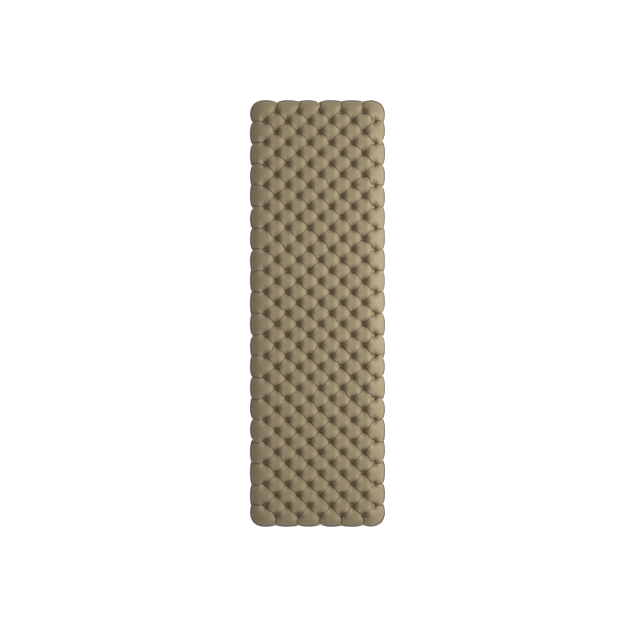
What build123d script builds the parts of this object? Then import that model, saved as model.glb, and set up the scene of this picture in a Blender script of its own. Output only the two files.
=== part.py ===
from build123d import *

import os
from math import sqrt

# Inflatable sleeping pad of two coated fabric sheets, in millimetres.
# The sheets are welded together round the edge and at staggered round spots, which hold the pad flat
# when it is blown up. A layered flat valve sits in the underside near one head corner: a large plug
# for letting the air out carries a small inlet with a check disc and its own cap.
# X runs across the pad, +Y towards the head end and +Z up. The origin is on the ground, under the
# middle of the pad.

# --- whole pad ---
pad_width = 590.0  # over the welded edge
pad_length = 1880.0  # over the welded edge
pad_thickness = 65.0  # blown up
corner_radius = 58.0  # of the outline
seam_width = 6.0  # welded flange outside the air chamber
sheet_thickness = 0.6
weld_film = 0.2  # fused coating between the two sheets
side_flat = 2.5  # upright part of the chamber's side, above and below the seam

# --- spot welds: staggered, one at every second crossing of the columns and rows ---
target_pitch = 47.5  # the pitches both ways come as near to it as whole cells allow
wide_margin = 63.0  # from the pad's -X edge to the first column
narrow_margin = 47.0  # from the last column to the pad's +X edge
end_margin = 51.0  # from the pad's ends to the first and the last row
end_row_pitch = 43.0  # the first and the last row stand closer
weld_radius = 6.0
dimple_radius = 23.0  # of a weld's dimple at the pad's face

# --- valve place: a crossing without a weld, near the head corner on the -X side ---
valve_column = 0
valve_rows_from_head = 2
ground_clearance = 3.4  # under the inlet cap
pocket_margin = 2.0  # flat sheet round the valve's flange

# --- valve base, welded to the inner face of the lower sheet ---
base_flange_width = 11.0  # round the socket
base_flange_thickness = 1.0
socket_bore_radius = 14.8
socket_wall = 2.2
socket_depth = 12.0  # into the chamber
lip_height = 1.6  # of the socket outside the sheet
lip_bead = 0.7  # holds the tether ring on the lip
guard_bar_width = 2.4  # crossed bars that keep the far sheet off the port
guard_bar_height = 1.2
sheet_hole_clearance = 0.2

# --- large plug for letting air out ---
plug_gap = 0.2  # between the lip and the plug's disc
plug_overhang = 0.6  # of the plug's disc over the lip
plug_disc_thickness = 1.4
plug_fit = 0.3  # radial clearance at the mouth of the socket
plug_taper = 1.2  # the skirt's tip is this much smaller, so that it can swing out
plug_skirt_depth = 6.5  # below the sheet's face
plug_skirt_wall = 2.3  # at the skirt's tip, round the cavity that takes the check carrier
port_radius = 8.0
port_wall = 2.2
port_collar_height = 1.8
collar_bead = 0.4  # holds the cap's tether ring on the collar
port_floor = -0.2  # inner end of the port
plug_tab_width = 12.0
plug_tab_length = 8.5
edge_round = 0.4  # of the discs' and tabs' outer edges
rib_radius = 0.35  # of the grip ribs on the tabs
rib_pitch = 1.9

# --- check carrier and disc ---
carrier_fit = 0.05
carrier_height = 2.0
carrier_ledge = 1.0  # the carrier's opening is this much smaller than the port
seat_width = 1.2
seat_height = 0.6
hub_radius = 2.6
spoke_width = 1.4
spoke_height = 1.4
stem_radius = 1.2
stem_fit = 0.08
disc_overlap = 0.6  # of the check disc past its seat
disc_thickness = 0.8
disc_gap = 0.05
disc_travel = 2.0
stem_head_radius = 1.8
stem_head_height = 0.8

# --- inlet cap ---
cap_gap = 0.2
cap_overhang = 1.0  # of the cap's disc over the collar
cap_disc_thickness = 1.4
cap_fit = 0.15
cap_taper = 0.45
cap_skirt_depth = 4.0
cap_skirt_wall = 1.4
cap_tab_width = 9.0
cap_tab_length = 6.0

# --- tethers: a ring round each collar, a tongue, and a strap that folds back over it ---
ring_fit = 0.15
ring_width = 2.2
ring_thickness = 0.85
tether_clearance = 0.05  # under each tether ring
plug_strap_length = 6.7  # from the disc's edge to the fold
cap_strap_length = 4.8
plug_strap_width = 9.0
cap_strap_width = 7.0
strap_thickness = 1.0
fold_radius = 0.45  # bead along each strap's fold line
fold_gap = 0.2  # between the bead and the tongue's end

# --- worked out: the pad ---
mid_height = pad_thickness / 2
side_round = mid_height - side_flat
weld_half = weld_film / 2
column_span = pad_width - wide_margin - narrow_margin
row_span = pad_length - 2 * end_margin - 2 * end_row_pitch
column_gaps = 2 * round(column_span / (2 * target_pitch))
row_gaps = 2 * round(row_span / (2 * target_pitch))
column_pitch = column_span / column_gaps
row_pitch = row_span / row_gaps
column_count = column_gaps + 1
row_count = row_gaps + 3
valve_row = row_count - 1 - valve_rows_from_head

# --- worked out: the valve, in its own frame, where +Z leaves the pad and 0 is the sheet's face ---
lip_radius = socket_bore_radius + socket_wall
base_flange_radius = lip_radius + base_flange_width
plug_disc_radius = lip_radius + plug_overhang
plug_disc_bottom = lip_height + plug_gap
plug_disc_top = plug_disc_bottom + plug_disc_thickness
plug_root_radius = socket_bore_radius - plug_fit
plug_tip_radius = plug_root_radius - plug_taper
plug_cavity_radius = plug_tip_radius - plug_skirt_wall
collar_radius = port_radius + port_wall
collar_top = plug_disc_top + port_collar_height
carrier_opening_radius = port_radius - carrier_ledge
check_disc_radius = carrier_opening_radius + seat_width + disc_overlap
cap_disc_radius = collar_radius + cap_overhang
cap_disc_bottom = collar_top + cap_gap
cap_disc_top = cap_disc_bottom + cap_disc_thickness
plug_hinge_reach = plug_disc_radius + plug_strap_length
cap_hinge_reach = cap_disc_radius + cap_strap_length
plug_fold_height = plug_disc_bottom - plug_gap / 2 - fold_gap
cap_fold_height = cap_disc_bottom - cap_gap / 2 - 2 * fold_gap
valve_height = cap_disc_top + ground_clearance  # of the sheet's face above the ground


def column_x(column):
    """Place of a column of welds across the pad."""
    return wide_margin - pad_width / 2 + column * column_pitch


def row_y(row):
    """Place of a row of welds along the pad: the end rows stand closer to their neighbours."""
    last = row_count - 1
    inner = min(max(row, 1), last - 1)
    return (inner - last / 2) * row_pitch + (row - inner) * end_row_pitch


def weld_places():
    """Centres of all the spot welds."""
    return [
        (column_x(column), row_y(row))
        for row in range(row_count)
        for column in range(column_count)
        if (column + row) % 2 == 1
    ]


def outline(inset):
    """The pad's rounded outline, moved in from the outer edge of the seam."""
    return RectangleRounded(pad_width - 2 * inset, pad_length - 2 * inset, corner_radius - inset)


def half_chamber(skin):
    """Upper half of the pad's body above the middle plane, taken in by a skin thickness all over."""
    slope = (dimple_radius - weld_radius) / (mid_height - weld_half - sheet_thickness)
    spread = skin * sqrt(1 + slope**2)
    top = mid_height - skin
    plan = Pos(0, 0, weld_half) * outline(seam_width + skin)
    body = extrude(plan, amount=top - weld_half)
    rim = body.faces().sort_by(Axis.Z)[-1].edges()
    body = fillet(rim, side_round - skin)
    floor = weld_half if skin else weld_half + sheet_thickness
    rise = mid_height - floor
    low = weld_radius + spread + slope * (floor - weld_half - sheet_thickness)
    cone = Cone(low, low + slope * rise, rise, align=(Align.CENTER, Align.CENTER, Align.MIN))
    return body, [Pos(x, y, floor) * cone for x, y in weld_places()]


def sheet(extra_outer=(), extra_inner=()):
    """One sheet as a thin shell above the middle plane, with its dimples, weld spots and flange."""
    outer, outer_dimples = half_chamber(0)
    inner, inner_dimples = half_chamber(sheet_thickness)
    shell = (outer - outer_dimples - list(extra_outer)) - (inner - inner_dimples - list(extra_inner))
    band = outline(0) - outline(seam_width + sheet_thickness / 2)
    return shell + extrude(Pos(0, 0, weld_half) * band, amount=sheet_thickness)


def ring(outer, inner, bottom, top):
    """A plain ring about the Z axis."""
    profile = Circle(outer) - Circle(inner)
    return extrude(Pos(0, 0, bottom) * profile, amount=top - bottom)


def disc(radius, bottom, top):
    """A plain disc on the Z axis."""
    return extrude(Pos(0, 0, bottom) * Circle(radius), amount=top - bottom)


def block(x_size, y_low, y_high, bottom, top):
    """A block centred on X."""
    corner = (Align.CENTER, Align.MIN, Align.MIN)
    return Pos(0, y_low, bottom) * Box(x_size, y_high - y_low, top - bottom, align=corner)


def tabbed_disc(radius, width, length, bottom, top):
    """A disc with a rounded pull tab towards -Y, which has grip ribs across its outer face."""
    end = radius + length - width / 2
    tip = Pos(0, -end, 0) * disc(width / 2, bottom, top)
    plate = disc(radius, bottom, top) + block(width, -end, 0, bottom, top) + tip
    plate = fillet(plate.faces().sort_by(Axis.Z)[-1].edges(), edge_round)
    rib = Cylinder(rib_radius, width - 4 * edge_round - 2 * rib_pitch, rotation=(0, 90, 0))
    ribs = [Pos(0, -end + (place - 1) * rib_pitch, top) * rib for place in range(3)]
    return plate + ribs


def make_spot_welds():
    """The fused coating at every spot weld."""
    spot = disc(weld_radius, -weld_half, weld_half)
    return Compound([Pos(x, y, mid_height) * spot for x, y in weld_places()])


def make_perimeter_weld():
    """The fused coating between the two flanges."""
    band = outline(0) - outline(seam_width)
    return extrude(Pos(0, 0, mid_height - weld_half) * band, amount=weld_film)


def make_valve_base():
    """Flange, socket and guard bars, in the valve's own frame: +Z leaves the pad."""
    flange_low = -sheet_thickness - base_flange_thickness
    flange = ring(base_flange_radius, socket_bore_radius, flange_low, -sheet_thickness)
    socket = ring(lip_radius, socket_bore_radius, -socket_depth, lip_height)
    bead = ring(lip_radius + lip_bead, socket_bore_radius, lip_height - lip_bead, lip_height)
    bar_span = socket_bore_radius + socket_wall / 2
    bar = block(guard_bar_width, -bar_span, bar_span, -socket_depth, guard_bar_height - socket_depth)
    base = flange + socket + bar + Rot(0, 0, 90) * bar + bead
    mouth = base.faces().sort_by(Axis.Z)[-1].edges().sort_by(SortBy.RADIUS)[0]
    return chamfer(mouth, plug_fit / 2)


def tapered_skirt(tip_radius, root_radius, tip, root):
    """A round skirt, solid, which narrows towards its tip inside the pad."""
    skirt = Cone(tip_radius, root_radius, root - tip, align=(Align.CENTER, Align.CENTER, Align.MIN))
    return Pos(0, 0, tip) * skirt


def make_deflation_plug():
    """The large plug: disc with its pull tab, tapered skirt, and inlet port with its collar."""
    plate = tabbed_disc(
        plug_disc_radius, plug_tab_width, plug_tab_length, plug_disc_bottom, plug_disc_top
    )
    skirt = tapered_skirt(plug_tip_radius, plug_root_radius, -plug_skirt_depth, plug_disc_bottom)
    collar = disc(collar_radius, plug_disc_top, collar_top)
    bead = disc(collar_radius + collar_bead, collar_top - collar_bead, collar_top)
    port = disc(port_radius, port_floor, collar_top)
    cavity = disc(plug_cavity_radius, -plug_skirt_depth, port_floor)
    return plate + skirt + collar + bead - port - cavity


def make_check_carrier():
    """Hard ring with a spoked hub that guides the check disc's stem, and the seat under it."""
    low = port_floor - carrier_height
    body = ring(plug_cavity_radius - carrier_fit, carrier_opening_radius, low, port_floor)
    seat = ring(carrier_opening_radius + seat_width, carrier_opening_radius, low - seat_height, low)
    span = carrier_opening_radius + seat_width
    spoke = block(spoke_width, -span, span, low, low + spoke_height)
    hub = disc(hub_radius, low, low + spoke_height)
    hole = disc(stem_radius + stem_fit, low, low + spoke_height)
    return body + seat + hub + spoke + Rot(0, 0, 90) * spoke - hole


def make_check_disc():
    """The soft disc that closes against the pad's own pressure, with its guided stem and head."""
    seat_face = port_floor - carrier_height - seat_height
    top = seat_face - disc_gap
    hub_top = port_floor - carrier_height + spoke_height
    head_bottom = hub_top + disc_travel + plug_gap
    plate = disc(check_disc_radius, top - disc_thickness, top)
    stem = disc(stem_radius, top, head_bottom)
    head = disc(stem_head_radius, head_bottom, head_bottom + stem_head_height)
    return plate + stem + head


def make_inlet_cap():
    """The small cap: disc with its pull tab, and hollow tapered skirt."""
    root = port_radius - cap_fit
    tip = cap_disc_bottom - cap_skirt_depth
    plate = tabbed_disc(cap_disc_radius, cap_tab_width, cap_tab_length, cap_disc_bottom, cap_disc_top)
    skirt = tapered_skirt(root - cap_taper, root, tip, cap_disc_bottom)
    hollow = disc(root - cap_taper - cap_skirt_wall, tip, cap_disc_bottom)
    return plate + skirt - hollow


def make_tether_ring(collar, width, reach, bottom):
    """A ring round a collar, with a tongue that reaches out to the fold."""
    inner = collar + ring_fit
    top = bottom + ring_thickness
    tongue_end = reach - fold_radius - fold_gap
    band = ring(inner + ring_width, inner, bottom, top)
    return band + block(width, inner + ring_width / 2, tongue_end, bottom, top)


def make_strap(edge_radius, width, reach, fold_height, bottom):
    """The strap from a plug's or cap's edge to the fold line, which has a round bead."""
    bar = block(width, 0, reach, bottom, bottom + strap_thickness)
    bar = bar - disc(edge_radius, bottom, bottom + strap_thickness)
    bead = Pos(0, reach, fold_height) * Cylinder(fold_radius, width, rotation=(0, 90, 0))
    neck = block(width, reach - fold_radius, reach, fold_height, bottom)
    return bar + bead + neck


def place_valve(piece):
    """Turns a valve piece over, so that it leaves the pad downwards, and puts it in its cell."""
    spot = Pos(column_x(valve_column), row_y(valve_row), valve_height)
    return spot * Rot(180, 0, 0) * piece


def make_sheets():
    """The upper sheet, and the lower sheet with its flat pocket and the hole for the valve."""
    upper = Pos(0, 0, mid_height) * sheet()
    place = Pos(column_x(valve_column), -row_y(valve_row), 0)
    pocket = base_flange_radius + pocket_margin
    floor = mid_height - valve_height
    hole = disc(lip_radius + sheet_hole_clearance, floor - base_flange_radius, mid_height)
    outer_cut = place * disc(pocket, floor, mid_height)
    inner_cut = place * disc(pocket + sheet_thickness, floor - sheet_thickness, mid_height)
    lower = sheet([outer_cut], [inner_cut]) - place * hole
    return upper, Pos(0, 0, mid_height) * Rot(180, 0, 0) * lower


def main():
    """Builds every piece and writes one STEP file for each."""
    os.makedirs("parts", exist_ok=True)
    top_sheet, bottom_sheet = make_sheets()
    plug_ring = make_tether_ring(lip_radius, plug_strap_width, plug_hinge_reach, tether_clearance)
    cap_ring = make_tether_ring(
        collar_radius, cap_strap_width, cap_hinge_reach, plug_disc_top + tether_clearance
    )
    plug_strap = make_strap(
        plug_disc_radius, plug_strap_width, plug_hinge_reach, plug_fold_height, plug_disc_bottom
    )
    cap_strap = make_strap(
        cap_disc_radius, cap_strap_width, cap_hinge_reach, cap_fold_height, cap_disc_bottom
    )
    pieces = {
        "top_sheet": top_sheet,
        "bottom_sheet": bottom_sheet,
        "spot_welds": make_spot_welds(),
        "perimeter_weld": make_perimeter_weld(),
        "valve_base": place_valve(make_valve_base()),
        "plug_tether_ring": place_valve(plug_ring),
        "deflation_plug": place_valve(make_deflation_plug()),
        "plug_strap": place_valve(plug_strap),
        "check_carrier": place_valve(make_check_carrier()),
        "check_disc": place_valve(make_check_disc()),
        "cap_tether_ring": place_valve(cap_ring),
        "inlet_cap": place_valve(make_inlet_cap()),
        "cap_strap": place_valve(cap_strap),
    }
    for name, piece in pieces.items():
        export_step(piece, f"parts/{name}.step")


main()
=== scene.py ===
"""Looks of a blown-up, spot-welded sleeping pad: two inflated sheets, their welded seam and a flat valve."""

import logging
from dataclasses import dataclass, field
from enum import Enum

import bpy
import numpy as np
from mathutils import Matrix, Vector


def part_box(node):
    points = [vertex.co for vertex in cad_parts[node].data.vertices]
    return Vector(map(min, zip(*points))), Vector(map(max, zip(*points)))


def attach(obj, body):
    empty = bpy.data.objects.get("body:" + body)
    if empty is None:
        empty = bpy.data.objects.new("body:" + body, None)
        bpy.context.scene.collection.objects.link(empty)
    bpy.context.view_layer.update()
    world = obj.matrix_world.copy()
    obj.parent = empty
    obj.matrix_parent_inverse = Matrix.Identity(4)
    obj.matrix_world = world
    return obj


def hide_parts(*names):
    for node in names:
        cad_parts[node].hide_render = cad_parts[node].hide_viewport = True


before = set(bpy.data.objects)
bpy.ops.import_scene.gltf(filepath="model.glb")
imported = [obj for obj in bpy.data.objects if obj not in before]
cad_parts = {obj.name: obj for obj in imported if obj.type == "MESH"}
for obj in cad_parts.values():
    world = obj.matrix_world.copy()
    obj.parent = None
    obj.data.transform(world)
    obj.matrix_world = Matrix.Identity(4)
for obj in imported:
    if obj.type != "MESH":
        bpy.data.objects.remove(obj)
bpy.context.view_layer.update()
LOG = logging.getLogger("sleeping_pad")
WHITE = (1.0, 1.0, 1.0, 1.0)
TINY = 1e-9  # keeps divisors off zero


class Side(Enum):
    """Which of the pad's two sheets a piece is."""

    UPPER = 1
    LOWER = -1


def smooth_step(value: np.ndarray) -> np.ndarray:
    """Eases from 0 to 1 over the range 0 to 1."""
    t = np.clip(value, 0.0, 1.0)
    return t * t * (3 - 2 * t)


def patchy(rng: np.random.Generator, shape: tuple[int, int], cell: int, amount: float) -> np.ndarray:
    """Smooth random unevenness over a grid.

    Args:
        rng: source of the random values.
        shape: rows and columns of the grid.
        cell: size of one patch, in grid steps.
        amount: spread of the values.

    Returns:
        One value for each grid point.
    """
    rows, columns = shape
    knots = rng.normal(0, amount, (rows // cell + 3, columns // cell + 3))
    y, x = np.arange(rows) / cell, np.arange(columns) / cell
    j, i = y.astype(int), x.astype(int)
    fy, fx = smooth_step(y - j)[:, None], smooth_step(x - i)[None]
    near = knots[j][:, i] * (1 - fx) + knots[j][:, i + 1] * fx
    far = knots[j + 1][:, i] * (1 - fx) + knots[j + 1][:, i + 1] * fx
    return near * (1 - fy) + far * fy


@dataclass
class PadLayout:
    """Where the pad's welds, seam and valve are, read from the frame."""

    seam_width: float = 0.006
    corner_radius: float = 0.052
    lip_height: float = 0.0016
    pocket_radius: float = 0.030
    hole_radius: float = 0.0172
    hole_clearance: float = 0.001
    hole_margin: float = 0.006
    disc_apart: float = 0.014  # more than a weld's width and less than the way to the next
    neighbour_slack: float = 1.1
    welds: np.ndarray = field(init=False)
    weld_radius: float = field(init=False)
    half_width: float = field(init=False)
    half_length: float = field(init=False)
    middle: float = field(init=False)
    valve: tuple[float, float, float] = field(init=False)

    def __post_init__(self) -> None:
        """Reads the places from the frame's boxes and the weld node's discs."""
        low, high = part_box("perimeter_weld")
        self.half_width = high.x - self.seam_width
        self.half_length = high.y - self.seam_width
        self.middle = (low.z + high.z) / 2
        self.welds, self.weld_radius = self._weld_discs()
        base_low, base_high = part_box("valve_base")
        centre = (base_low + base_high) / 2
        self.valve = (centre.x, centre.y, base_low.z + self.lip_height)

    def _weld_discs(self) -> tuple[np.ndarray, float]:
        """Finds the weld discs.

        Returns:
            Each disc's centre, and the radius that they share.
        """
        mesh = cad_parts["spot_welds"].data
        points = np.zeros(len(mesh.vertices) * 3)
        mesh.vertices.foreach_get("co", points)
        left = points.reshape(-1, 3)[:, :2]
        centres, radius = [], 0.0
        while len(left):
            near = np.hypot(*(left - left[0]).T) < self.disc_apart
            disc = left[near]
            centres.append((disc.min(0) + disc.max(0)) / 2)
            radius = max(radius, float(np.ptp(disc[:, 0])) / 2)
            left = left[~near]
        return np.array(centres), radius

    def lines(self, axis: int) -> np.ndarray:
        """Places of the weld columns or rows.

        Args:
            axis: 0 for the columns, 1 for the rows.

        Returns:
            Their places along that axis, in order.
        """
        places = np.sort(self.welds[:, axis])
        starts = np.concatenate([[True], np.diff(places) > self.weld_radius])
        return np.array([group.mean() for group in np.split(places, np.flatnonzero(starts)[1:])])

    def creases(self) -> list[tuple[np.ndarray, np.ndarray]]:
        """Finds the folds that run from each weld to its diagonal neighbours.

        Returns:
            Both ends of each fold, from left to right.
        """
        columns, rows = self.lines(0), self.lines(1)
        reach = np.hypot(np.diff(columns).max(), np.diff(rows).max()) * self.neighbour_slack
        found = []
        for at in self.welds:
            step = self.welds - at
            near = (step[:, 0] > self.weld_radius) & (np.hypot(*step.T) < reach)
            near &= np.abs(step[:, 1]) > self.weld_radius
            found += [(at, other) for other in self.welds[near]]
        return found

    def edge_welds(self, axis: int, sign: int) -> np.ndarray:
        """Places along an edge of the welds next to it.

        Args:
            axis: 0 for the two long sides, 1 for the two ends.
            sign: which of the two.

        Returns:
            The welds' other coordinate.
        """
        across = self.welds[:, axis] * sign
        return np.sort(self.welds[across > across.max() - self.weld_radius, 1 - axis])


class LinkSet:
    """Threads between grid points that share no point, so that all can be pulled at once."""

    def __init__(self, first: tuple, second: tuple, rest: np.ndarray, pull: float, push: float,
                 free: np.ndarray) -> None:
        """Keeps the threads' ends and each end's share of a move.

        Args:
            first: slices of the points at one end.
            second: slices of the points at the other.
            rest: rest lengths.
            pull: stiffness when stretched.
            push: stiffness when slack.
            free: 1 where a point may move.
        """
        self.first, self.second = first, second
        self.rest = rest.astype(np.float32)
        self.pull = np.float32(pull)
        self.push = np.float32(push)
        share_a, share_b = free[first[1:]], free[second[1:]]
        total = np.maximum(share_a + share_b, TINY)
        self.share_a = (share_a / total).astype(np.float32)
        self.share_b = (share_b / total).astype(np.float32)

    def relax(self, points: np.ndarray) -> None:
        """Moves both ends of each thread towards its rest length.

        Args:
            points: the sheet's points, which it changes.
        """
        step = points[self.second] - points[self.first]
        length = np.sqrt(np.einsum("kij,kij->ij", step, step)) + TINY
        off = length - self.rest
        step *= off * np.where(off > 0, self.pull, self.push) / length
        points[self.first] += step * self.share_a
        points[self.second] -= step * self.share_b


@dataclass(frozen=True)
class Cloth:
    """How the coated fabric is cut and how it gives when the pad is blown up."""

    cells: int = 14  # grid steps from one line of welds to the next
    fullness: float = 1.12  # flat cloth to the span that it covers, between the welds
    margin_fullness: float = 1.24  # outside the outer welds
    seam_fullness: float = 1.03
    seam_depth: float = 0.05  # over which the fullness builds up from the seam
    uneven: float = 0.01
    uneven_patch: int = 8  # grid steps
    pull: float = 0.9
    push: float = 0.12
    shear_pull: float = 0.3
    shear_push: float = 0.03
    bend: float = 0.04
    drag: float = 0.9
    pressure: float = 0.05e-3
    pressure_ramp: float = 0.3  # share of the rounds over which the pressure builds up
    rounds: int = 350
    quick_rounds: int = 60
    start_height: float = 0.003
    start_noise: float = 0.0004
    cusp_depth: float = 0.018  # how far the seam is drawn in beside the outer welds
    cusp_least: float = 0.35  # share of that depth
    cusp_reach: float = 0.035  # how far in from the seam the start follows it
    cusp_jitter: float = 0.005
    bulge: float = 0.0045
    weld_height: float = 0.0003
    weld_margin: float = 1.05  # pinned radius to the weld's own


class InflatedSheet:
    """One sheet of the pad, blown up from its flat cut between its welds and its seam."""

    SEEDS = {Side.UPPER: 3, Side.LOWER: 8}
    SEAM_SEED = 53  # the same on both sheets, which share the seam
    SEARCH_MARGIN = 0.01
    HEADROOM = 1.5  # of the half thickness, for the upper sheet before it is levelled

    def __init__(self, layout: PadLayout, cloth: Cloth, side: Side) -> None:
        """Lays the cut out flat on a grid and pins its welds, seam and valve pocket.

        Args:
            layout: where the welds, the seam and the valve are.
            cloth: how the fabric is cut and gives.
            side: which sheet it is.
        """
        self.layout, self.cloth, self.side = layout, cloth, side
        self.rng = np.random.default_rng(self.SEEDS[side])
        self.xs = self._grid_line(0, layout.half_width)
        self.ys = self._grid_line(1, layout.half_length)
        self.plan = self._rounded(*np.meshgrid(self.xs, self.ys))
        self.shape = self.plan[0].shape
        self.seam = np.zeros(self.shape, bool)
        self.seam[:, [0, -1]] = True
        self.seam[[0, -1]] = True
        self.weld = self._near(layout.welds, layout.weld_radius * cloth.weld_margin)
        self.pocket = np.zeros(self.shape, bool)
        if side is Side.LOWER:
            self.pocket = self._near(np.array([layout.valve[:2]]), layout.pocket_radius)
        self.pinned = self.seam | self.weld | self.pocket
        self.points = self._start()
        self.cut = self._cut_factors()

    def _grid_line(self, axis: int, half: float) -> np.ndarray:
        """Grid places along one axis, which fall on every line of welds.

        Args:
            axis: 0 across the pad, 1 along it.
            half: from the middle to the seam.

        Returns:
            The places in order.
        """
        lines = self.layout.lines(axis)
        step = float(np.diff(lines).max()) / self.cloth.cells
        ends = [(-half, lines[0]), (lines[-1], half)]
        outer = [np.linspace(a, b, int(round((b - a) / step)) + 1) for a, b in ends]
        inner = [np.linspace(a, b, self.cloth.cells + 1)[1:] for a, b in zip(lines[:-1], lines[1:])]
        return np.concatenate([outer[0], *inner, outer[1][1:]])

    def _rounded(self, x: np.ndarray, y: np.ndarray) -> np.ndarray:
        """Draws the grid's corner squares in to quarter discs.

        Args:
            x: places across the pad.
            y: places along it.

        Returns:
            Both, one after the other.
        """
        radius = self.layout.corner_radius
        hx, hy = self.layout.half_width - radius, self.layout.half_length - radius
        u = np.clip((np.abs(x) - hx) / radius, 0, 1)
        v = np.clip((np.abs(y) - hy) / radius, 0, 1)
        corner = (u > 0) & (v > 0)
        round_x = np.sign(x) * (hx + radius * u * np.sqrt(1 - v * v / 2))
        round_y = np.sign(y) * (hy + radius * v * np.sqrt(1 - u * u / 2))
        return np.stack([np.where(corner, round_x, x), np.where(corner, round_y, y)])

    def _near(self, centres: np.ndarray, radius: float) -> np.ndarray:
        """Marks the grid points near any of some places.

        Args:
            centres: the places.
            radius: how near.

        Returns:
            Whether each point is that near.
        """
        marked = np.zeros(self.shape, bool)
        reach = radius + self.SEARCH_MARGIN
        for cx, cy in centres:
            i0, i1 = np.searchsorted(self.xs, [cx - reach, cx + reach])
            j0, j1 = np.searchsorted(self.ys, [cy - reach, cy + reach])
            part = self.plan[:, j0:j1, i0:i1]
            marked[j0:j1, i0:i1] |= np.hypot(part[0] - cx, part[1] - cy) <= radius
        return marked

    def _drawn_in(self, places: np.ndarray, along: np.ndarray, rng: np.random.Generator) -> np.ndarray:
        """How far the seam is drawn in along one edge, with an uneven cusp beside each outer weld.

        Args:
            places: the outer welds' places along the edge.
            along: the seam points' places along it.
            rng: source of the cusps' depths and places.

        Returns:
            How far in each seam point lies.
        """
        cloth = self.cloth
        inward = np.full(along.shape, -cloth.bulge)
        half = float(np.median(np.diff(places))) / 2
        for place in places:
            depth = cloth.cusp_depth * (cloth.cusp_least + (1 - cloth.cusp_least) * rng.random())
            away = np.abs(along - place - rng.normal(0, cloth.cusp_jitter)) / half
            bay = 1 - np.sqrt(1 - np.clip(1 - away, 0, 1) ** 2)
            inward = np.maximum(inward, depth * bay - cloth.bulge)
        return inward

    def _start(self) -> np.ndarray:
        """Lays out the flat cut with its scalloped seam, raised a little between the welds.

        Returns:
            The starting points.
        """
        cloth = self.cloth
        shared = np.random.default_rng(self.SEAM_SEED)
        points = np.concatenate([self.plan, np.zeros((1, *self.shape))])
        x, y = self.plan
        edges = self.layout.edge_welds
        left = self._drawn_in(edges(0, -1), y[:, 0], shared)
        right = self._drawn_in(edges(0, 1), y[:, -1], shared)
        head = self._drawn_in(edges(1, 1), x[-1], shared)
        foot = self._drawn_in(edges(1, -1), x[0], shared)
        reach = cloth.cusp_reach
        points[0] += left[:, None] * np.clip(1 - (self.xs - self.xs[0]) / reach, 0, 1)
        points[0] -= right[:, None] * np.clip(1 - (self.xs[-1] - self.xs) / reach, 0, 1)
        points[1] -= head * np.clip(1 - (self.ys[-1] - self.ys) / reach, 0, 1)[:, None]
        points[1] += foot * np.clip(1 - (self.ys - self.ys[0]) / reach, 0, 1)[:, None]
        loose = ~self.pinned
        points[2, loose] = cloth.start_height + self.rng.normal(0, cloth.start_noise, int(loose.sum()))
        points[2, self.pocket] = self.layout.middle - self.layout.valve[2]
        return points.astype(np.float32)

    def _cut_factors(self) -> tuple[np.ndarray, np.ndarray]:
        """How much longer than its span each thread of the cut is.

        Returns:
            The factors across the pad, and those along it.
        """
        cloth, welds = self.cloth, self.layout.welds
        factors = []
        for axis, line, other in ((0, self.xs, self.ys), (1, self.ys, self.xs)):
            middle = (line[1:] + line[:-1]) / 2
            low, high = welds[:, axis].min(), welds[:, axis].max()
            inside = (middle > low) & (middle < high)
            depth = smooth_step((other.max() - np.abs(other)) / cloth.seam_depth)
            built = cloth.seam_fullness + (cloth.fullness - cloth.seam_fullness) * depth[:, None]
            full = np.where(inside[None], built, cloth.margin_fullness)
            full = full if axis == 0 else full.T
            factors.append(full * (1 + patchy(self.rng, full.shape, cloth.uneven_patch, cloth.uneven)))
        return factors[0], factors[1]

    def flat_size(self) -> tuple[float, float]:
        """Measures the flat cut through its middle.

        Returns:
            Its width and length, with the flange.
        """
        flange = 2 * self.layout.seam_width
        across, along = self.cut
        width = float((np.diff(self.xs) * across[len(self.ys) // 2]).sum())
        length = float((np.diff(self.ys) * along[:, len(self.xs) // 2]).sum())
        return width + flange, length + flange

    def _links(self) -> tuple[list[LinkSet], list[LinkSet]]:
        """Strings the threads and what keeps the cloth from bending sharply.

        Returns:
            The threads across, along and on both diagonals, and the stiffeners.
        """
        cloth = self.cloth
        free = np.where(self.pinned, 0.0, 1.0)
        across = np.diff(self.plan, axis=2) * self.cut[0]
        along = np.diff(self.plan, axis=1) * self.cut[1]
        x_rest, y_rest = np.hypot(*across), np.hypot(*along)
        a = (across[:, 1:] + across[:, :-1]) / 2
        b = (along[:, :, 1:] + along[:, :, :-1]) / 2
        rise, fall = np.hypot(*(a + b)), np.hypot(*(b - a))
        threads = [
            (0, 1, 1, 2, x_rest, cloth.pull, cloth.push, False),
            (1, 0, 2, 1, y_rest, cloth.pull, cloth.push, False),
            (1, 1, 2, 1, rise, cloth.shear_pull, cloth.shear_push, False),
            (1, 1, 2, 1, fall, cloth.shear_pull, cloth.shear_push, True),
        ]
        stiffeners = [
            (0, 2, 1, 4, x_rest[:, 1:] + x_rest[:, :-1], 0.0, cloth.bend, False),
            (2, 0, 4, 1, y_rest[1:] + y_rest[:-1], 0.0, cloth.bend, False),
        ]
        return ([link for kind in threads for link in self._coloured(*kind, free)],
                [link for kind in stiffeners for link in self._coloured(*kind, free)])

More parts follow.
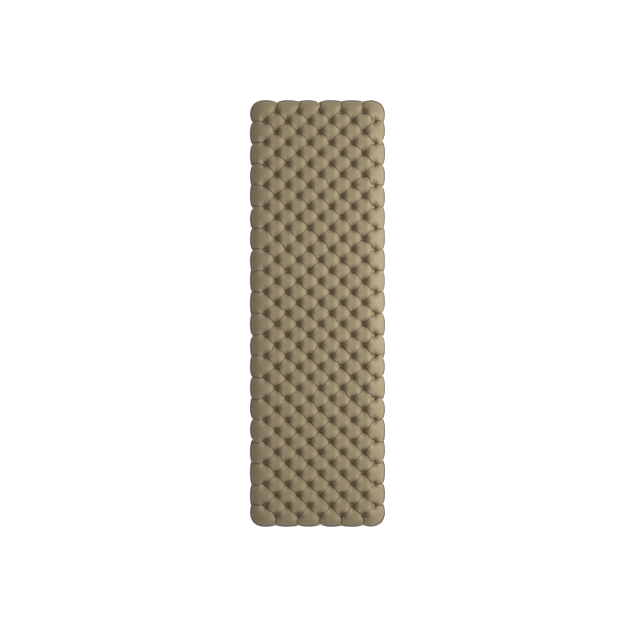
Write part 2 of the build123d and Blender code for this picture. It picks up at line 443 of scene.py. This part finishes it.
    def _coloured(self, step_y: int, step_x: int, every_y: int, every_x: int, rest: np.ndarray,
                  pull: float, push: float, flip: bool, free: np.ndarray) -> list[LinkSet]:
        """Splits the threads of one kind into sets that share no point.

        Args:
            step_y: rows from one end to the other.
            step_x: columns from one end to the other.
            every_y: a set takes each such row.
            every_x: a set takes each such column.
            rest: rest lengths.
            pull: stiffness when stretched.
            push: stiffness when slack.
            flip: whether the thread runs from right to left.
            free: 1 where a point may move.

        Returns:
            The sets.
        """
        rows, columns = self.shape[0] - step_y, self.shape[1] - step_x
        found = []
        for oy in range(every_y):
            for ox in range(every_x):
                ya, yb = slice(oy, rows, every_y), slice(oy + step_y, rows + step_y, every_y)
                xa, xb = slice(ox, columns, every_x), slice(ox + step_x, columns + step_x, every_x)
                if flip:
                    xa, xb = xb, xa
                share = rest[oy:rows:every_y, ox:columns:every_x]
                found.append(LinkSet((slice(None), ya, xa), (slice(None), yb, xb), share, pull, push, free))
        return found

    def inflate(self) -> np.ndarray:
        """Blows the sheet up.

        Returns:
            The points, rows by columns by three, with heights from the pad's middle plane.
        """
        cloth, points = self.cloth, self.points
        anchors = points[:, self.pinned].copy()
        loose = (~self.pinned).astype(np.float32)
        threads, stiffeners = self._links()
        rounds = cloth.rounds
        ceiling = self.layout.middle * (1.0 if self.side is Side.LOWER else self.HEADROOM)
        cell = float(np.median(np.diff(self.xs)) * np.median(np.diff(self.ys)))
        last = points.copy()
        for turn in range(rounds):
            before = points.copy()
            gy, gx = np.gradient(points, axis=(1, 2))
            lift = cloth.pressure / cell * min(1.0, (turn + 1) / (cloth.pressure_ramp * rounds)) * loose
            points += (points - last) * cloth.drag
            points += np.cross(gx, gy, axis=0).astype(np.float32) * lift
            last = before
            for link in threads + threads + stiffeners:
                link.relax(points)
            points[:, self.pinned] = anchors
            np.clip(points[2], 0, ceiling, out=points[2])
        return np.moveaxis(points, 0, -1).astype(float)


class Nodes:
    """Short ways to add the shader nodes that the finishes share."""

    MIX_FACTOR = 0
    MIX_FIRST = 6  # the mix node's colour sockets share their names with its others
    MIX_SECOND = 7
    MIX_RESULT = 2
    WAVE_LENGTH = 0.314159  # of a wave texture whose scale is 1
    WAVER = 0.3

    def __init__(self, material: bpy.types.Material) -> None:
        """Starts on a material's own tree and its main shader."""
        self.tree = material.node_tree
        self.shader = self.tree.nodes["Principled BSDF"]

    def add(self, kind: str) -> bpy.types.Node:
        """Adds a node."""
        return self.tree.nodes.new(kind)

    def link(self, source: bpy.types.NodeSocket, target: bpy.types.NodeSocket) -> None:
        """Joins two sockets."""
        self.tree.links.new(source, target)

    def place(self) -> bpy.types.NodeSocket:
        """The point on the piece, in metres."""
        return self.add("ShaderNodeTexCoord").outputs["Object"]

    def attribute(self, name: str) -> bpy.types.NodeSocket:
        """A value that the mesh holds for each of its points."""
        node = self.add("ShaderNodeAttribute")
        node.attribute_name = name
        return node.outputs["Fac"]

    def noise(self, place: bpy.types.NodeSocket, scale: float, detail: float) -> bpy.types.NodeSocket:
        """Adds a noise.

        Args:
            place: the point.
            scale: cells to the metre.
            detail: finer layers.

        Returns:
            Its value, from 0 to 1.
        """
        node = self.add("ShaderNodeTexNoise")
        node.inputs["Scale"].default_value = scale
        node.inputs["Detail"].default_value = detail
        self.link(place, node.inputs["Vector"])
        return node.outputs["Fac"]

    def spread(self, value: bpy.types.NodeSocket, low: float, high: float) -> bpy.types.NodeSocket:
        """Spreads a value from 0 to 1 over another range.

        Args:
            value: the value.
            low: what 0 becomes.
            high: what 1 becomes.

        Returns:
            The new value.
        """
        node = self.add("ShaderNodeMapRange")
        node.inputs["To Min"].default_value = low
        node.inputs["To Max"].default_value = high
        self.link(value, node.inputs["Value"])
        return node.outputs["Result"]

    def mix(self, factor: bpy.types.NodeSocket, low: tuple, high: tuple) -> bpy.types.NodeSocket:
        """Mixes two fixed colours.

        Args:
            factor: the value that mixes them.
            low: the colour at 0.
            high: the colour at 1.

        Returns:
            The mixed colour.
        """
        node = self.add("ShaderNodeMix")
        node.data_type = "RGBA"
        node.inputs[self.MIX_FIRST].default_value = (*low, 1)
        node.inputs[self.MIX_SECOND].default_value = (*high, 1)
        self.link(factor, node.inputs[self.MIX_FACTOR])
        return node.outputs[self.MIX_RESULT]

    def mix_into(self, factor: bpy.types.NodeSocket, base: bpy.types.NodeSocket, other: tuple,
                 strength: float = 1.0) -> bpy.types.NodeSocket:
        """Mixes a fixed colour into a linked one.

        Args:
            factor: the value that mixes them.
            base: the linked colour.
            other: the fixed colour.
            strength: how much of the fixed colour a factor of 1 gives.

        Returns:
            The mixed colour.
        """
        scale = self.add("ShaderNodeMath")
        scale.operation = "MULTIPLY"
        scale.inputs[1].default_value = strength
        self.link(factor, scale.inputs[0])
        node = self.add("ShaderNodeMix")
        node.data_type = "RGBA"
        node.inputs[self.MIX_SECOND].default_value = (*other, 1)
        self.link(base, node.inputs[self.MIX_FIRST])
        self.link(scale.outputs[0], node.inputs[self.MIX_FACTOR])
        return node.outputs[self.MIX_RESULT]

    def weave(self, place: bpy.types.NodeSocket, pitch: float) -> bpy.types.NodeSocket:
        """Adds a plain weave.

        Args:
            place: the point.
            pitch: from one thread to the next.

        Returns:
            The height of its crossing threads, from 0 to 1.
        """
        waves = []
        for direction in ("X", "Y"):
            wave = self.add("ShaderNodeTexWave")
            wave.bands_direction = direction
            wave.inputs["Scale"].default_value = self.WAVE_LENGTH / pitch
            wave.inputs["Distortion"].default_value = self.WAVER
            self.link(place, wave.inputs["Vector"])
            waves.append(wave.outputs["Fac"])
        both = self.add("ShaderNodeMath")
        both.operation = "MULTIPLY"
        self.link(waves[0], both.inputs[0])
        self.link(waves[1], both.inputs[1])
        return both.outputs[0]

    def bump(self, height: bpy.types.NodeSocket, distance: float, strength: float,
             under: bpy.types.NodeSocket | None = None) -> bpy.types.NodeSocket:
        """Adds a bump.

        Args:
            height: the relief, from 0 to 1.
            distance: its real height.
            strength: how much of it shows.
            under: the bump that it lies on, if any.

        Returns:
            The bumped normal.
        """
        node = self.add("ShaderNodeBump")
        node.inputs["Distance"].default_value = distance
        node.inputs["Strength"].default_value = strength
        self.link(height, node.inputs["Height"])
        if under is not None:
            self.link(under, node.inputs["Normal"])
        return node.outputs["Normal"]


def tinted(colour: tuple[float, float, float], share: float, lift: float = 0.0) -> tuple[float, ...]:
    """A colour made darker or paler."""
    return tuple(min(1.0, part * share + lift) for part in colour)


@dataclass(frozen=True)
class CoatedFabric:
    """Fine woven fabric with a thin coating: dull, with a faint sheen and painted shade in its creases."""

    colour: tuple[float, float, float] = (0.325, 0.258, 0.150)
    shade: float = 0.88  # of the darker blotches
    grain_shade: float = 0.94
    grain_mix: float = 0.35
    # painted shade: share of the colour left at the bottom of a fold, where shade falls
    crease_painted_shade: float = 0.30
    # paler weld spots: partly the pressed coating, partly painted light that lifts them out of the dimples'
    # shade
    weld_coating_and_painted_light: float = 1.65
    roughness: float = 0.55
    smoother: float = 0.06
    rougher: float = 0.08
    specular: float = 0.35
    sheen: float = 0.08
    blotch_scale: float = 9.0  # cells to the metre
    grain_scale: float = 260.0
    ripple_scale: float = 70.0
    ripple_height: float = 0.0006
    ripple_strength: float = 0.35
    thread_pitch: float = 0.0008
    weave_height: float = 0.00006
    weave_strength: float = 0.6

    def material(self, name: str) -> bpy.types.Material:
        """Builds the fabric's node material.

        Args:
            name: the material's name.

        Returns:
            The material.
        """
        made = bpy.data.materials.new(name)
        made.use_nodes = True
        build = Nodes(made)
        shader = build.shader
        place = build.place()
        blotch = build.noise(place, self.blotch_scale, 3.0)
        grain = build.noise(place, self.grain_scale, 4.0)
        base = build.mix(blotch, tinted(self.colour, self.shade), self.colour)
        base = build.mix_into(grain, base, tinted(self.colour, self.grain_shade), self.grain_mix)
        # painted shade along the folds, by the crease mark
        base = build.mix_into(build.attribute("crease"), base, tinted(self.colour, self.crease_painted_shade))
        # paler weld spots: pressed coating and painted light
        base = build.mix_into(build.attribute("weld"), base, tinted(self.colour, self.weld_coating_and_painted_light))
        build.link(base, shader.inputs["Base Color"])
        ripple = build.noise(place, self.ripple_scale, 5.0)
        rippled = build.bump(ripple, self.ripple_height, self.ripple_strength)
        weave = build.weave(place, self.thread_pitch)
        woven = build.bump(weave, self.weave_height, self.weave_strength, rippled)
        build.link(woven, shader.inputs["Normal"])
        rough = build.spread(grain, self.roughness - self.smoother, self.roughness + self.rougher)
        build.link(rough, shader.inputs["Roughness"])
        shader.inputs["Specular IOR Level"].default_value = self.specular
        shader.inputs["Sheen Weight"].default_value = self.sheen
        return made


@dataclass(frozen=True)
class MouldedPlastic:
    """Moulded valve material with a fine grain and slightly rubbed edges."""

    colour: tuple[float, float, float]
    roughness: float
    uneven: float = 0.06
    specular: float = 0.4
    cloud_scale: float = 60.0  # cells to the metre
    cloud_shade: float = 0.85
    grain_scale: float = 900.0
    grain_height: float = 0.00003
    grain_strength: float = 0.5
    edge_range: tuple[float, float] = (0.52, 0.6)  # pointiness at which an edge starts to be rubbed
    rubbed_share: float = 1.25
    rubbed_lift: float = 0.02
    rubbed_mix: float = 0.6

    def material(self, name: str) -> bpy.types.Material:
        """Builds the plastic's node material.

        Args:
            name: the material's name.

        Returns:
            The material.
        """
        made = bpy.data.materials.new(name)
        made.use_nodes = True
        build = Nodes(made)
        place = build.place()
        cloud = build.noise(place, self.cloud_scale, 3.0)
        grain = build.noise(place, self.grain_scale, 2.0)
        rubbed = build.add("ShaderNodeMapRange")
        rubbed.inputs["From Min"].default_value, rubbed.inputs["From Max"].default_value = self.edge_range
        build.link(build.add("ShaderNodeNewGeometry").outputs["Pointiness"], rubbed.inputs["Value"])
        base = build.mix(cloud, tinted(self.colour, self.cloud_shade), self.colour)
        worn = tinted(self.colour, self.rubbed_share, self.rubbed_lift)
        base = build.mix_into(rubbed.outputs["Result"], base, worn, self.rubbed_mix)
        build.link(base, build.shader.inputs["Base Color"])
        grained = build.bump(grain, self.grain_height, self.grain_strength)
        build.link(grained, build.shader.inputs["Normal"])
        rough = build.spread(cloud, self.roughness - self.uneven, self.roughness + self.uneven)
        build.link(rough, build.shader.inputs["Roughness"])
        build.shader.inputs["Specular IOR Level"].default_value = self.specular
        return made


def new_piece(name: str, points: np.ndarray, faces: list, material: bpy.types.Material) -> bpy.types.Object:
    """Makes a smooth mesh piece in the scene.

    Args:
        name: the piece's name.
        points: its points.
        faces: each face's points, by number.
        material: its finish.

    Returns:
        The piece.
    """
    mesh = bpy.data.meshes.new(name)
    mesh.from_pydata(points.tolist(), [], faces)
    mesh.shade_smooth()
    mesh.materials.append(material)
    piece = bpy.data.objects.new(name, mesh)
    bpy.context.scene.collection.objects.link(piece)
    return piece


@dataclass(frozen=True)
class Dimples:
    """How the cloth lies round each spot weld."""

    share: float = 0.92  # of the round dimples in the sheet's shape, against its own pillows
    reach: float = 0.0082  # how far a weld's dimple spreads
    power: float = 1.05
    valve_reach: float = 0.017  # the stiff valve opens the dimples beside it, and its cap swings there
    valve_near: float = 0.06
    folds: tuple[int, int] = (7, 11)  # small puckers that run out of each weld
    fold_height: float = 0.0032
    fold_at: float = 0.017  # from a weld's centre
    fold_spread: float = 0.007
    fold_stray: float = 0.3
    seed: int = 77

    def pucker(self, turn: np.ndarray, distance: np.ndarray, rng: np.random.Generator) -> np.ndarray:
        """Depth of the small puckers round one weld.

        Args:
            turn: each point's direction from the weld.
            distance: its distance from the weld.
            rng: source of their number and directions.

        Returns:
            The depth at each point.
        """
        turn = turn + self.fold_stray * np.sin(turn + rng.uniform(0, 2 * np.pi))
        folds = rng.integers(*self.folds)
        ridge = np.abs(np.sin((turn * folds + rng.uniform(0, 2 * np.pi)) / 2))
        ring = np.exp(-(((distance - self.fold_at) / self.fold_spread) ** 2))
        return (1 - ridge) * ring * self.fold_height


@dataclass(frozen=True)
class Folds:
    """The sharp folds that run between the welds, and from the outer ones to the seam."""

    depth: float = 0.0040
    half: float = 0.0016
    stray: float = 0.0028  # how far a fold wanders off its line
    follow: float = 0.007  # how far the cloth beside a fold wanders with it
    knots: int = 6
    knot_span: tuple[float, float] = (0.05, 0.95)
    start_fade: float = 0.06  # shares of a fold's length
    end_fade: float = 0.99
    fade_length: float = 0.12
    falling: tuple[float, float] = (0.75, 0.5)  # least share of the depth, and how much more there may be
    # rising folds are shallower and get less painted shade; falling ones, facing away from the light, get
    # more
    rising_share: float = 0.7
    seam: tuple[float, float] = (0.9, 0.4)
    seam_gap: float = 0.004
    seam_stray: float = 0.004
    level_height: float = 0.012  # a fold is shallower where the cloth is lower than this
    margin: float = 0.01
    seed: int = 31


@dataclass(frozen=True)
class FlangeShape:
    """The welded band round the seam."""

    half: float = 0.0006
    droop: float = 0.0015
    overlap: float = 0.2  # share of its width that lies inside the seam
    steps: tuple[float, ...] = (0.0, 0.35, 0.7)
    rounded: float = 0.8  # of its thickness, at the outer edge
    smoothings: int = 3
    wave_points: int = 15
    seed: int = 21

    def section(self) -> list[tuple[float, float]]:
        """Its outline: share of the width and of the half thickness, from the top round to the underside."""
        top = [(-self.overlap, 1.0), *[(step, 1.0) for step in self.steps], (1.0, self.rounded)]
        return top + [(share, -sign) for share, sign in reversed(top)]


@dataclass
class AirChamber:
    """The two inflated sheets and the flange that joins them round the edge."""

    layout: PadLayout
    cloth: Cloth = Cloth()
    dimples: Dimples = Dimples()
    folds: Folds = Folds()
    rim: FlangeShape = FlangeShape()
    level: float = 0.7  # below 1, pillows are flatter on top and creases shallower
    top_percentile: float = 98.0
    edge_reach: float = 0.062  # from the seam to the top of the side tube
    edge_power: float = 1.2
    rest_softness: float = 0.0015

    def sheet(self, side: Side, fabric: bpy.types.Material) -> np.ndarray:
        """Inflates one sheet and makes its piece.

        Args:
            side: which sheet.
            fabric: its material.

        Returns:
            Its seam points in order round the pad.
        """
        blown = InflatedSheet(self.layout, self.cloth, side)
        points = blown.inflate()
        points[..., 2] = self._levelled(points, blown)
        crease = self._fold(points, blown)
        rows, columns = blown.shape
        index = np.arange(rows * columns).reshape(rows, columns)
        quads = np.stack([index[:-1, :-1], index[:-1, 1:], index[1:, 1:], index[1:, :-1]], -1).reshape(-1, 4)
        placed = points.copy()
        placed[..., 2] = self.layout.middle + side.value * (points[..., 2] + self.cloth.weld_height)
        flat = placed.reshape(-1, 3)
        if side is Side.LOWER:
            quads = quads[:, ::-1]
            quads = self._valve_hole(flat, quads)
        name = "upper_sheet_fabric" if side is Side.UPPER else "lower_sheet_fabric"
        piece = new_piece(name, flat, self._split(flat, quads, side), fabric)
        # the crease mark also drives the fabric's painted shade in the folds
        piece.data.attributes.new("crease", "FLOAT", "POINT").data.foreach_set("value", crease.ravel())
        spots = blown.weld.astype(float).ravel()
        piece.data.attributes.new("weld", "FLOAT", "POINT").data.foreach_set("value", spots)
        node = "top_sheet" if side is Side.UPPER else "bottom_sheet"
        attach(piece, "pad")
        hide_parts(node)
        LOG.info("%s: %d faces, flat %s", name, len(piece.data.polygons), blown.flat_size())
        return np.concatenate([points[0], points[1:, -1], points[-1, -2::-1], points[-2:0:-1, 0]])

    def _split(self, points: np.ndarray, quads: np.ndarray, side: Side) -> list:
        """Splits each quad along the diagonal that lies deeper in the pad, so that folds stay sharp.

        Args:
            points: the sheet's points.
            quads: its quads.
            side: which sheet it is.

        Returns:
            The triangles.
        """
        height = (points[quads, 2] - self.layout.middle) * side.value
        first = height[:, 0] + height[:, 2] < height[:, 1] + height[:, 3]
        turned = np.where(first[:, None], quads, np.roll(quads, 1, axis=1))
        return np.concatenate([turned[:, [0, 1, 2]], turned[:, [0, 2, 3]]]).tolist()

    def _levelled(self, points: np.ndarray, blown: InflatedSheet) -> np.ndarray:
        """Spreads the heights so that the pillows' tops reach the pad's faces, and rounds the dimples.

        Args:
            points: the sheet's points.
            blown: the sheet that they come from.

        Returns:
            The new heights.
        """
        dimples, layout, height = self.dimples, self.layout, points[..., 2]
        top = float(np.percentile(height, self.top_percentile))
        half = layout.middle - self.cloth.weld_height
        spread = half * (np.clip(height, 0, None) / top) ** self.level
        rise = np.full(height.shape, np.inf)
        pucker = np.zeros(height.shape)
        rng = np.random.default_rng(dimples.seed + blown.side.value)
        for at in layout.welds:
            from_x, from_y = points[..., 0] - at[0], points[..., 1] - at[1]
            distance = np.hypot(from_x, from_y)
            beside_valve = np.hypot(*(at - layout.valve[:2])) < dimples.valve_near
            opened = beside_valve and blown.side is Side.LOWER
            reach = dimples.valve_reach if opened else dimples.reach
            rise = np.minimum(rise, np.clip(distance - layout.weld_radius, 0, None) / reach)
            near = distance < dimples.fold_at + 3 * dimples.fold_spread
            pucker[near] -= dimples.pucker(np.arctan2(from_y[near], from_x[near]), distance[near], rng)
        across = np.clip((layout.half_width - np.abs(blown.xs)) / self.edge_reach, 0, 1)
        along = np.clip((layout.half_length - np.abs(blown.ys)) / self.edge_reach, 0, 1)
        edge = np.clip(1 - np.hypot(1 - across[None], 1 - along[:, None]), 0, 1)
        arch = (2 * edge - edge**2) ** self.edge_power
        moulded = half * arch * (1 - np.exp(-(rise**dimples.power)))
        spread += (moulded - spread) * dimples.share + pucker * smooth_step(edge * 2)
        soft = half - self.rest_softness
        over = np.clip(spread - soft, 0, None) / self.rest_softness
        eased = np.where(spread > soft, soft + self.rest_softness * (1 - np.exp(-over)), spread)
        return np.where(blown.pocket, height, eased)

    def _fold(self, points: np.ndarray, blown: InflatedSheet) -> np.ndarray:
        """Presses the sharp folds into the sheet, from each weld to its neighbours and to the seam.

        Args:
            points: the sheet's points, which it changes.
            blown: the sheet that they come from.

        Returns:
            For each point, how deep in a fold it is, from 0 to 1.
        """
        folds, layout = self.folds, self.layout
        rng = np.random.default_rng(folds.seed + blown.side.value)
        mark = np.zeros(blown.shape)
        for at, other in layout.creases():
            least, more = folds.falling
            # the depth scales the painted crease shade as well as the groove
            depth = (least + more * rng.random()) * (1.0 if other[1] < at[1] else folds.rising_share)
            self._groove(points, blown, mark, (at, other), depth, rng)
        for axis, sign in ((0, -1), (0, 1), (1, -1), (1, 1)):
            half = layout.half_length if axis else layout.half_width
            lines = layout.lines(axis)
            for place in layout.edge_welds(axis, sign):
                start = np.array([place, place])
                start[axis] = lines[0] if sign < 0 else lines[-1]
                end = start.copy()
                end[axis] = sign * (half - folds.seam_gap)
                end[1 - axis] += rng.normal(0, folds.seam_stray)
                least, more = folds.seam
                self._groove(points, blown, mark, (start, end), least + more * rng.random(), rng)
        pressed = mark * folds.depth * smooth_step(points[..., 2] / folds.level_height)
        points[..., 2] -= np.where(blown.pinned, 0, pressed)
        return mark

    def _groove(self, points: np.ndarray, blown: InflatedSheet, mark: np.ndarray,
                ends: tuple[np.ndarray, np.ndarray], depth: float, rng: np.random.Generator) -> None:
        """Marks one wandering fold and moves the cloth beside it.

        Args:
            points: the sheet's points, which it changes.
            blown: the sheet that they come from.
            mark: how deep in a fold each point is, which it changes.
            ends: where the fold starts and ends.
            depth: its share of the usual depth.
            rng: source of its wandering.
        """
        folds = self.folds
        start, end = ends
        span = end - start
        length = float(np.hypot(*span))
        along, across = span / length, np.array([-span[1], span[0]]) / length
        low, high = np.minimum(start, end) - folds.margin, np.maximum(start, end) + folds.margin
        i0, i1 = np.searchsorted(blown.xs, [low[0], high[0]])
        j0, j1 = np.searchsorted(blown.ys, [low[1], high[1]])
        part = np.moveaxis(blown.plan[:, j0:j1, i0:i1], 0, -1) - start
        way, off = part @ along / length, part @ across
        knots = np.clip(rng.normal(0, folds.stray, folds.knots), -2 * folds.stray, 2 * folds.stray)
        knots[[0, -1]] = 0
        centre = np.interp(way, np.linspace(*folds.knot_span, folds.knots), knots)
        moved = centre * np.exp(-((off / folds.follow) ** 2)) * ~blown.pinned[j0:j1, i0:i1]
        points[j0:j1, i0:i1, :2] += moved[..., None] * across
        fade = smooth_step((way - folds.start_fade) / folds.fade_length)
        fade = fade * smooth_step((folds.end_fade - way) / folds.fade_length)
        line = depth * fade * np.exp(-((off / folds.half) ** 2) / 2)
        mark[j0:j1, i0:i1] = np.maximum(mark[j0:j1, i0:i1], line)

    def _valve_hole(self, points: np.ndarray, quads: np.ndarray) -> np.ndarray:
        """Opens the lower sheet round the valve's socket, with a round edge.

        Args:
            points: the sheet's points, which it changes at the edge.
            quads: its quads.

        Returns:
            The quads that are left.
        """
        layout = self.layout
        x, y, _ = layout.valve
        away = points[:, :2] - (x, y)
        distance = np.hypot(*away.T)
        kept = quads[~(distance < layout.hole_radius + layout.hole_clearance)[quads].any(1)]
        sides = np.concatenate([kept[:, [k, (k + 1) % 4]] for k in range(4)])
        sides = sides[(distance[sides] < layout.pocket_radius).all(1)]
        pairs, uses = np.unique(np.sort(sides, axis=1), axis=0, return_counts=True)
        rim = np.unique(pairs[uses == 1])
        rim = rim[distance[rim] < layout.hole_radius + layout.hole_margin]
        points[rim, :2] = (x, y) + away[rim] / distance[rim, None] * layout.hole_radius
        return kept

    def flange(self, seam: np.ndarray, painted_shade_film: bpy.types.Material) -> None:
        """Makes the welded flange as a closed band round the seam.

        Args:
            seam: the seam's points in order.
            painted_shade_film: its material.
        """
        rim, count = self.rim, len(seam)
        along = np.roll(seam, -1, axis=0) - np.roll(seam, 1, axis=0)
        outward = np.stack([along[:, 1], -along[:, 0]], -1)
        outward /= np.hypot(*outward.T)[:, None]
        for _ in range(rim.smoothings):
            outward = (np.roll(outward, 1, 0) + outward * 2 + np.roll(outward, -1, 0)) / 4
        rng = np.random.default_rng(rim.seed)
        noise = np.tile(rng.normal(0, 1, count), 3)
        wave = np.convolve(noise, np.hanning(rim.wave_points), "same")[count:2 * count]
        droop = -rim.droop * (1 + wave / np.abs(wave).max())
        rings = []
        for share, sign in rim.section():
            xy = seam[:, :2] + outward * self.layout.seam_width * share
            z = self.layout.middle + sign * rim.half + droop * max(share, 0.0)
            rings.append(np.column_stack([xy, z]))
        turns = len(rings)
        faces = []
        for k in range(count):
            for r in range(turns):
                n, s = (k + 1) % count, (r + 1) % turns
                faces.append((r * count + k, s * count + k, s * count + n, r * count + n))
        # the flange's material is darkened as painted shade
        piece = new_piece("seam_flange", np.concatenate(rings), faces, painted_shade_film)
        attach(piece, "pad")
        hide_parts("perimeter_weld")
        LOG.info("seam_flange: %d faces", len(faces))


class FlatValve:
    """Finishes of the valve's pieces and the spot welds, which keep their construction shapes."""

    SOFT_BLACK = MouldedPlastic((0.028, 0.028, 0.027), 0.6)
    FINISHES = {
        "valve_base": MouldedPlastic((0.045, 0.045, 0.042), 0.5),
        "plug_tether_ring": SOFT_BLACK,
        "deflation_plug": MouldedPlastic((0.040, 0.040, 0.038), 0.45),
        "plug_strap": SOFT_BLACK,
        "check_carrier": MouldedPlastic((0.62, 0.61, 0.57), 0.4),
        "check_disc": MouldedPlastic((0.36, 0.36, 0.34), 0.35),
        "cap_tether_ring": SOFT_BLACK,
        "inlet_cap": MouldedPlastic((0.50, 0.13, 0.03), 0.45),
        "cap_strap": SOFT_BLACK,
        "spot_welds": MouldedPlastic((0.25, 0.20, 0.13), 0.4),
    }

    def dress(self) -> None:
        """Gives every carried-over piece its finish."""
        for node, finish in self.FINISHES.items():
            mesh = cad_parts[node].data
            made = finish.material(f"{node}_finish")
            if not mesh.materials:
                mesh.materials.append(made)
            for place in range(len(mesh.materials)):
                mesh.materials[place] = made
            LOG.info("%s dressed", node)


@dataclass
class Studio:
    """Pale floor, one large soft light from the pad's right, and a camera straight above."""

    floor_size: float = 40.0
    floor_grey: float = 0.8
    floor_roughness: float = 0.9
    floor_glow: float = 0.78
    camera_height: float = 2.75
    view_width: float = 2.7865
    sensor: float = 36.0
    shift: tuple[float, float] = (-0.00413, -0.00254)
    light_place: tuple[float, float, float] = (2.25, 0.35, 1.75)
    light_size: float = 1.2
    light_power: float = 78.0
    ambient: float = 0.42

    def floor(self) -> None:
        """Makes the floor, which looks white, keeps the pad's shadow and is clear from below."""
        made = bpy.data.materials.new("studio_floor")
        made.use_nodes = True
        build = Nodes(made)
        build.shader.inputs["Base Color"].default_value = (*[self.floor_grey] * 3, 1)
        build.shader.inputs["Roughness"].default_value = self.floor_roughness
        path = build.add("ShaderNodeLightPath")
        seen = build.add("ShaderNodeMath")
        seen.operation = "MAXIMUM"
        build.link(path.outputs["Is Camera Ray"], seen.inputs[0])
        build.link(path.outputs["Is Glossy Ray"], seen.inputs[1])
        strength = build.add("ShaderNodeMath")
        strength.operation = "MULTIPLY"
        strength.inputs[1].default_value = self.floor_glow
        build.link(seen.outputs[0], strength.inputs[0])
        glow = build.add("ShaderNodeEmission")
        glow.inputs["Color"].default_value = WHITE
        build.link(strength.outputs[0], glow.inputs["Strength"])
        both = build.add("ShaderNodeAddShader")
        build.link(build.shader.outputs[0], both.inputs[0])
        build.link(glow.outputs[0], both.inputs[1])
        one_sided = build.add("ShaderNodeMixShader")
        build.link(build.add("ShaderNodeNewGeometry").outputs["Backfacing"], one_sided.inputs["Fac"])
        build.link(both.outputs[0], one_sided.inputs[1])
        build.link(build.add("ShaderNodeBsdfTransparent").outputs[0], one_sided.inputs[2])
        build.link(one_sided.outputs[0], build.tree.nodes["Material Output"].inputs["Surface"])
        half = self.floor_size / 2
        corners = np.array([(-half, -half, 0), (half, -half, 0), (half, half, 0), (-half, half, 0)], float)
        new_piece("floor", corners, [(0, 1, 2, 3)], made)

    def light(self) -> None:
        """Sets the soft light and the pale surroundings."""
        data = bpy.data.lights.new("softbox", "AREA")
        data.size = self.light_size
        data.energy = self.light_power
        lamp = bpy.data.objects.new("softbox", data)
        bpy.context.scene.collection.objects.link(lamp)
        lamp.location = self.light_place
        lamp.rotation_euler = (-Vector(self.light_place)).to_track_quat("-Z", "Y").to_euler()
        world = bpy.data.worlds.new("surroundings")
        bpy.context.scene.world = world
        world.use_nodes = True
        tree = world.node_tree
        background = tree.nodes["Background"]
        background.inputs["Color"].default_value = WHITE
        path = tree.nodes.new("ShaderNodeLightPath")
        level = tree.nodes.new("ShaderNodeMapRange")
        level.inputs["To Min"].default_value = self.ambient
        tree.links.new(path.outputs["Is Camera Ray"], level.inputs["Value"])
        tree.links.new(level.outputs["Result"], background.inputs["Strength"])
        bpy.context.scene.view_settings.view_transform = "Standard"

    def camera(self, middle: float) -> None:
        """Places the camera above the pad.

        Args:
            middle: height of the pad's middle plane.
        """
        data = bpy.data.cameras.new("camera")
        data.sensor_width = self.sensor
        data.lens = self.sensor * self.camera_height / self.view_width
        data.shift_x, data.shift_y = self.shift
        camera = bpy.data.objects.new("camera", data)
        bpy.context.scene.collection.objects.link(camera)
        camera.location = (0, 0, middle + self.camera_height)
        bpy.context.scene.camera = camera


SHELL = CoatedFabric()
# painted shade: the flange fabric is the sheets' fabric darkened, to stand for the shade round the seam's
# rim
FLANGE_PAINTED_SHADE = CoatedFabric(colour=(0.19, 0.16, 0.112), roughness=0.4, weave_height=0.00003)


def main() -> None:
    """Builds the studio and the pad in order."""
    logging.basicConfig(level=logging.INFO, format="%(message)s")
    layout = PadLayout()
    studio = Studio()
    studio.floor()
    studio.light()
    studio.camera(layout.middle)
    fabric = SHELL.material("coated_fabric")
    # the flange's darker fabric is painted shade
    painted_shade_film = FLANGE_PAINTED_SHADE.material("flange_fabric_painted_shade")
    chamber = AirChamber(layout)
    seam = chamber.sheet(Side.UPPER, fabric)
    chamber.sheet(Side.LOWER, fabric)
    chamber.flange(seam, painted_shade_film)
    FlatValve().dress()


if __name__ == "__main__":
    main()
